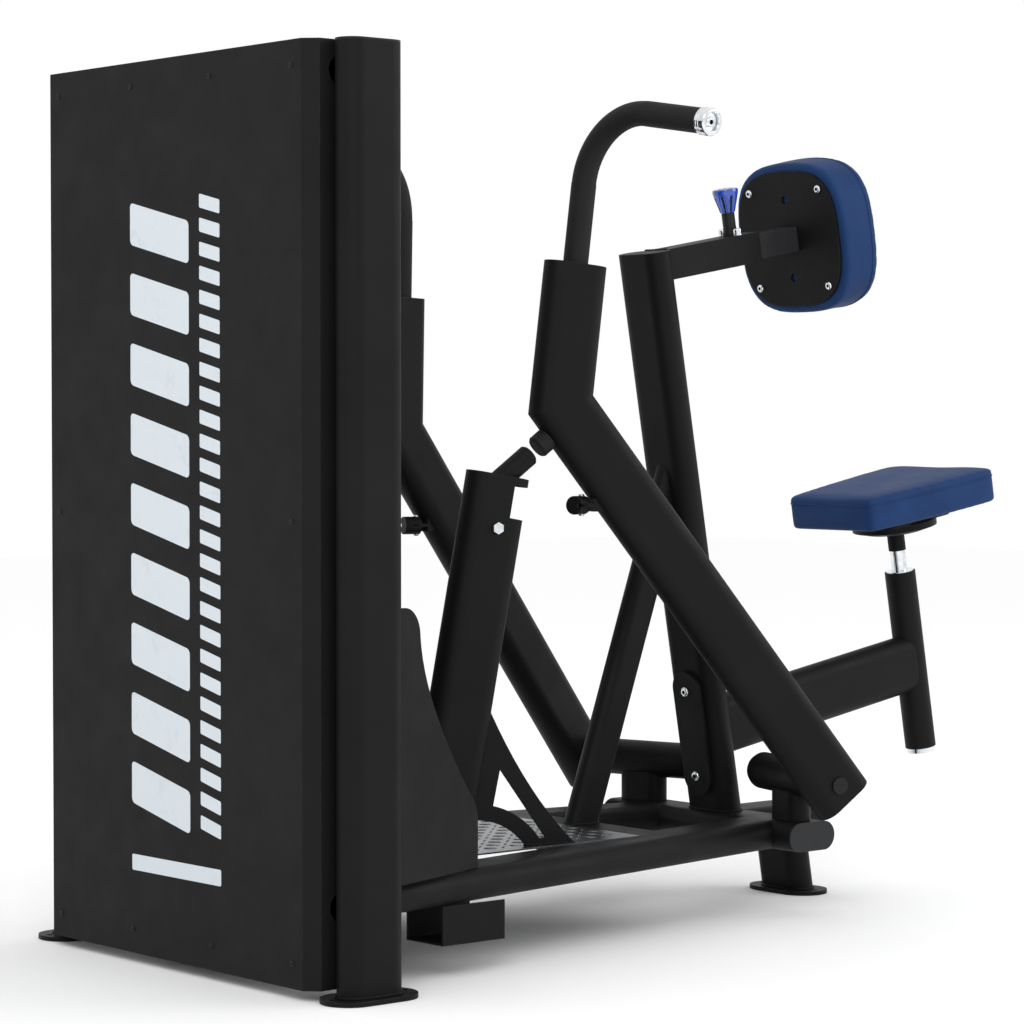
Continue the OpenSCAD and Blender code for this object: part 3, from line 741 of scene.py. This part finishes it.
def make_end_cap(side):
    """A polished cap: rounded rim, two turned grooves, a recess with a socket screw in it."""
    centre, axis = turning_axis(side + "_end_cap", middle(side + "_handle"))
    low, high = extent(side + "_end_cap", axis)
    place = facing(centre + axis * (low - centre.dot(axis)), axis)
    depth = high - low
    rim = 0.0250
    groove = 0.0008
    profile = [(rim - 0.0015, 0.0), (rim, 0.0012)]
    for at in (0.0045, 0.0095):
        profile += [(rim, at), (rim - groove, at + 0.0006), (rim - groove, at + 0.0016), (rim, at + 0.0022)]
    profile += [(rim - 0.0045 * (1 - math.cos(a)), depth - 0.005 * (1 - math.sin(a)))
                for a in (math.pi / 12 * k for k in range(7))]
    profile += [(0.0178, depth - 0.0006), (0.0168, depth - 0.0020), (0.0165, depth - 0.0090),
                (0.0150, depth - 0.0100)]
    bm = bmesh.new()
    lathe(bm, place, profile, 56)
    screw = place @ Matrix.Translation((0, 0, depth - 0.0100))
    button_head(bm, screw, 0.0098, 0.0062, 0.5)
    name = side + "_turned_cap"
    cap = piece(name, from_bmesh(name, bm), side + "_arm", BRIGHT)
    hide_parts(side + "_end_cap")


# ---------------------------------------------------------------- fasteners
def make_heads(name, node, body, direction, face, radius, height, materials=BRIGHT):
    """Domed socket heads in place of the plain fastener heads of one node."""
    shank, sunk = radius * 0.5, 0.005
    bm = bmesh.new()
    for centre in centres(node):
        seat = centre + direction * (face - centre.dot(direction))
        place = facing(seat, direction)
        button_head(bm, place, radius, height)
        lathe(bm, place @ Matrix.Translation((0, 0, -sunk)), [(shank, 0.0), (shank, sunk - 0.0002)], 20)
    obj = piece(name, from_bmesh(name, bm), body, materials)
    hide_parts(node)


def make_fasteners():
    behind = -REACH
    face = extent("chest_plate", behind)[1]
    make_heads("chest_button_head", "chest_bolt", "chest_rest", behind, face, 0.0082, 0.0046)
    face = extent("column_plate", behind)[1]
    make_heads("plate_button_head", "plate_bolt", "frame", behind, face, 0.0100, 0.0058)
    out = Vector((-1, 0, 0))
    face = extent("tower_cover", out)[1]
    # black plastic heads, with painted shade in their socket recesses
    dark = [MATERIALS["black_plastic"], EXTRA["painted_recess_shade"]]
    make_heads("cover_button_head", "cover_screw", "frame", out, face, 0.0048, 0.0022, dark)


# ---------------------------------------------------------------- weld beads
def cut_loops(node, point, normal):
    """Outer outlines where a plane crosses a CAD node."""
    bm = bmesh.new()
    bm.from_mesh(NODES[node].data)
    bmesh.ops.remove_doubles(bm, verts=bm.verts, dist=0.00002)
    whole = bm.verts[:] + bm.edges[:] + bm.faces[:]
    found = bmesh.ops.bisect_plane(bm, geom=whole, plane_co=point, plane_no=normal)
    edges = {e for e in found["geom_cut"] if isinstance(e, bmesh.types.BMEdge)}
    loops = []
    while edges:
        edge = min(edges, key=lambda e: tuple(round(c, 5) for c in e.verts[0].co))
        edges.discard(edge)
        start, here = edge.verts
        path = [start.co.copy(), here.co.copy()]
        while here is not start:
            following = [e for e in here.link_edges if e in edges]
            if not following:
                break
            edges.discard(following[0])
            here = following[0].other_vert(here)
            path.append(here.co.copy())
        if here is start:
            loops.append(path[:-1])
    bm.free()
    loops.sort(key=lambda p: -sum((a - b).length for a, b in zip(p, p[1:] + p[:1])))
    outer = []
    for path in loops:
        heart = box_middle(path)
        if all((heart - other).length > 0.02 for other, _ in outer):
            outer.append((heart, path))
    return [path for _, path in outer]


def weld(name, node, point, normal, radius=0.0032, body="frame"):
    """A rippled, painted-over bead round the foot of a tube."""
    bm = bmesh.new()
    for path in cut_loops(node, point, normal):
        total = sum((a - b).length for a, b in zip(path, path[1:] + path[:1]))
        points = even(path, max(int(total / 0.0026), 24))
        swell = [radius * (0.9 + 0.16 * math.sin(k * 1.9) + 0.2 * noise.noise(p * 90))
                 for k, p in enumerate(points)]
        sweep(bm, points, lambda i: circle(swell[i], 8), closed=True)
    piece(name, from_bmesh(name, bm), body, MATERIALS["black_coat"], sharp=80)


def make_welds():
    inside = 0.0012                         # the cut lies this far inside the foot of each tube
    for node in ("column", "brace", "stop_post", "tower_upright", "rear_foot"):
        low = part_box(node)[0].z
        weld(node + "_weld", node, Vector((0, 0, low + inside)), UP)
    for node in ("seat_beam", "arm_outer"):
        start = extent(node, REACH)[0]
        weld(node + "_weld", node, REACH * (start + inside), REACH)
    foot = extent("post_gusset", UP)[0]
    weld("gusset_weld", "post_gusset", Vector((0, 0, foot + inside)), UP, 0.0024)


# ---------------------------------------------------------------- foot plate tread
def make_tread():
    """Crossed lozenge bars rolled into the foot plate."""
    low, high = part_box("foot_plate")
    pitch, long, thick, rise = 0.0300, 0.0125, 0.0030, 0.0013
    bm = bmesh.new()
    rows = int((high.y - 0.016) / pitch)
    for i in range(int((high.x - low.x) / pitch)):
        x = low.x + pitch * (i + 0.6)
        for j in range(-rows, rows + 1):
            turn = math.radians(45 if (i + j) % 2 else -45)
            place = Matrix.Translation((x, j * pitch, high.z)) @ Matrix.Rotation(turn, 4, "Z")
            rings = []
            for scale, height in ((1.0, -0.0002), (0.92, rise * 0.6), (0.7, rise)):
                rings.append([bm.verts.new(place @ Vector((long * scale * x, thick * scale * y, height)))
                              for x, y in circle(1.0, 12)])
            bridge(bm, rings[0], rings[1])
            bridge(bm, rings[1], rings[2])
            bm.faces.new(rings[2])
            bm.faces.new(rings[0])
    piece("tread_bars", from_bmesh("tread_bars", bm), "frame", MATERIALS["tread_alloy"])


# ---------------------------------------------------------------- pull knob
def make_knob():
    """A flared see-through knob with deep flutes, their floors painted dark as shade, under a plain rim, on a
    bright stem.
    """
    foot, top = extent("arm_pin_knob", RISE)
    near, far = extent("arm_pin_knob", REACH)
    height = 0.048
    centre = REACH * (near + far) / 2
    place = axes(centre + RISE * (top + 0.002 - height), REACH, ACROSS, RISE)
    flutes, steps = 7, 112
    # radius, height and flute depth of each ring, from the foot to the dished top
    levels = [(0.0142, 0.0, 0.10), (0.0152, 0.0012, 0.24), (0.0182, 0.012, 0.24), (0.0218, 0.024, 0.20),
              (0.0242, 0.033, 0.10), (0.0250, 0.036, 0.0), (0.0258, 0.0425, 0.0), (0.0246, 0.0465, 0.0),
              (0.0205, 0.0480, 0.0), (0.0140, 0.0472, 0.0), (0.0122, 0.0425, 0.0)]
    bm = bmesh.new()
    rings = []
    for radius, level, depth in levels:
        ring = []
        for i in range(steps):
            angle = 2 * math.pi * i / steps
            groove = (0.5 + 0.5 * math.cos(flutes * angle)) ** 3
            reach = radius * (1 - depth * groove)
            spot = Vector((reach * math.cos(angle), reach * math.sin(angle), level))
            ring.append(bm.verts.new(place @ spot))
        rings.append(ring)
    for below, above in zip(rings, rings[1:]):
        bridge(bm, below, above)
    bm.faces.new(rings[0])
    bm.faces.new(rings[-1])
    bm.faces.ensure_lookup_table()
    fluted_bands, dark_share = 4, 0.62      # the floor of each flute is painted dark: painted shade
    for band in range(fluted_bands):
        for i in range(steps):
            if math.cos(flutes * 2 * math.pi * (i + 0.5) / steps) > dark_share:
                bm.faces[band * steps + i].material_index = 1
    knob = piece("pull_knob", from_bmesh("pull_knob", bm), "arm_pin",
                 [EXTRA["clear_blue"], EXTRA["painted_recess_shade"]])
    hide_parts("arm_pin_knob")
    bm = bmesh.new()
    stem = axes(centre + RISE * foot, REACH, ACROSS, RISE)
    lathe(bm, stem, [(0.0036, 0.0), (0.0040, 0.0006), (0.0040, top + 0.0018 - height - foot)], 24)
    button_head(bm, place @ Matrix.Translation((0, 0, 0.0427)), 0.0108, 0.0050, 0.5)
    piece("knob_stem", from_bmesh("knob_stem", bm), "arm_pin", BRIGHT)


def make_pin_nuts():
    """Two bright domed nuts that hold the pull pin's foot down on the arm."""
    near, far = extent("arm_pin_body", REACH)
    arm_top = extent("arm_outer", RISE)[1]
    spread, radius, tall = 0.0205, 0.0088, 0.0145
    washer, dome = 0.0100, 0.004
    bm = bmesh.new()
    for end in (-1, 1):
        foot = REACH * (near + far) / 2 + ACROSS * end * spread + RISE * arm_top
        place = axes(foot, REACH, ACROSS, RISE)
        profile = [(washer, 0.0), (washer, 0.0016), (radius, 0.0018), (radius, tall - dome)]
        profile += [(radius - dome * (1 - math.cos(a)), tall - dome * (1 - math.sin(a)))
                    for a in (math.pi / 12 * k for k in range(1, 7))]
        lathe(bm, place, profile, 40)
    piece("pin_nuts", from_bmesh("pin_nuts", bm), "frame", MATERIALS["bright_steel"])


# ---------------------------------------------------------------- cover striping
def stripe(bm, face_x, y0, y1, z0, z1, slant):
    """One slanted vinyl bar with small round corners."""
    radius = min(y1 - y0, z1 - z0) * 0.12
    outline = []
    for y, z, start in ((y1 - radius, z1 - radius, 0), (y0 + radius, z1 - radius, 90),
                        (y0 + radius, z0 + radius, 180), (y1 - radius, z0 + radius, 270)):
        for k in range(5):
            angle = math.radians(start + 22.5 * k)
            outline.append((y + radius * math.cos(angle), z + radius * math.sin(angle)))
    rings = []
    for lift in (0.0, 0.00035):
        rings.append([bm.verts.new((face_x - lift, y, z + slant * (y - y0))) for y, z in outline])
    bridge(bm, rings[0], rings[1])
    bm.faces.new(rings[1])


def make_striping():
    """Plain pale bars up the back of the cover: a wide slanted column, a narrow one, and a foot bar."""
    low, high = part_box("tower_cover")
    tall = high.z - low.z
    foot, head = low.z + tall * 0.145, low.z + tall * 0.85
    left, inner, right = 0.122, -0.058, -0.150
    bm = bmesh.new()
    for count, y0, y1, fill, slant in ((9, inner, left, 0.6, 0.22), (27, right, inner - 0.032, 0.58, 0.22)):
        step = (head - foot) / count
        for k in range(count):
            stripe(bm, low.x, y0, y1, foot + step * k, foot + step * (k + fill), slant)
    stripe(bm, low.x, right, left, low.z + tall * 0.094, low.z + tall * 0.112, 0.0)
    name = "cover_striping"
    piece(name, from_bmesh(name, bm), "frame", EXTRA["vinyl"], smooth=False)


# ---------------------------------------------------------------- build
make_chest_pad()
make_seat_pad()
for side in ("near", "far"):
    make_end_cap(side)
make_fasteners()
make_welds()
make_tread()
make_knob()
make_pin_nuts()
make_striping()


# ---------------------------------------------------------------- studio
def make_camera():
    """The viewing angle of the reference: from behind the tower, near side."""
    data = bpy.data.cameras.new("camera")
    data.sensor_width = 36.0
    data.lens = 114.64
    data.clip_start = 0.1
    data.clip_end = 60.0
    camera = bpy.data.objects.new("camera", data)
    bpy.context.scene.collection.objects.link(camera)
    camera.location = (-3.2641, -4.6911, 0.9722)
    camera.rotation_euler = (math.radians(90 - 1.777), 0.0, math.radians(-40.0))
    bpy.context.scene.camera = camera


def make_floor():
    mesh = bpy.data.meshes.new("floor")
    half = 14.0
    corners = [(-half, -half, 0), (half, -half, 0), (half, half, 0), (-half, half, 0)]
    mesh.from_pydata(corners, [], [(0, 1, 2, 3)])
    floor = bpy.data.objects.new("floor", mesh)
    bpy.context.scene.collection.objects.link(floor)
    s = Shader("floor_paper")
    mesh.materials.append(s.done(Base_Color=rgb(252, 252, 252), Roughness=0.9, Specular_IOR_Level=0.1))
    floor.location.z = -0.0005


def area_light(name, place, target, size, power):
    data = bpy.data.lights.new(name, "AREA")
    data.shape = "RECTANGLE"
    data.size, data.size_y = size
    data.energy = power
    light = bpy.data.objects.new(name, data)
    bpy.context.scene.collection.objects.link(light)
    light.location = place
    light.rotation_euler = (Vector(target) - Vector(place)).to_track_quat("-Z", "Y").to_euler()


def make_studio():
    world = bpy.data.worlds.new("studio")
    bpy.context.scene.world = world
    world.use_nodes = True
    background = world.node_tree.nodes["Background"]
    background.inputs["Color"].default_value = (1, 1, 1, 1)
    background.inputs["Strength"].default_value = 1.0
    target = middle("column")
    area_light("key", (-3.5, -4.5, 4.5), target, (3.0, 3.0), 110)
    area_light("fill", (4.5, -3.5, 3.0), target, (3.0, 2.0), 60)
    bpy.context.scene.view_settings.view_transform = "Standard"


make_camera()
make_floor()
make_studio()
